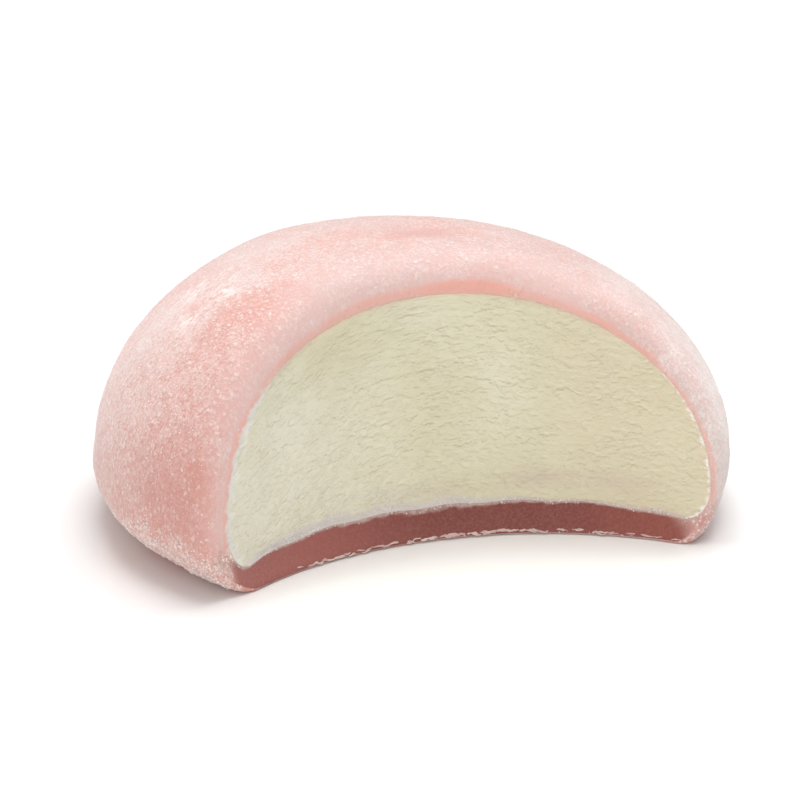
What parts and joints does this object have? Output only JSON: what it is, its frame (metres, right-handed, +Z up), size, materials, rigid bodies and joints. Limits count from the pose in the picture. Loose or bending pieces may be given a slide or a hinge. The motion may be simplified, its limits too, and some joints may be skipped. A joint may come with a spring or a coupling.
{
  "type": "mochi ice cream",
  "caption": "Bitten mochi ice cream: a soft flat-based dome of pink rice dough, open at a concave bite that shows the pale ice cream inside.",
  "frame": {"origin": "middle of the outline seen from above, on the flat underside that it rests on", "axes": "+Z up out of the dome; the bite faces -Y; +X to the right as one looks into the bite"},
  "size_m": [0.05, 0.0394, 0.0223],
  "materials": {
    "dough": "matte, dusted with starch",
    "ice_cream": "matte, frozen, finely grained"
  },
  "bodies": {
    "root": {"dough_skin": "dough", "ice_cream": "ice_cream"}
  },
  "joints": []
}
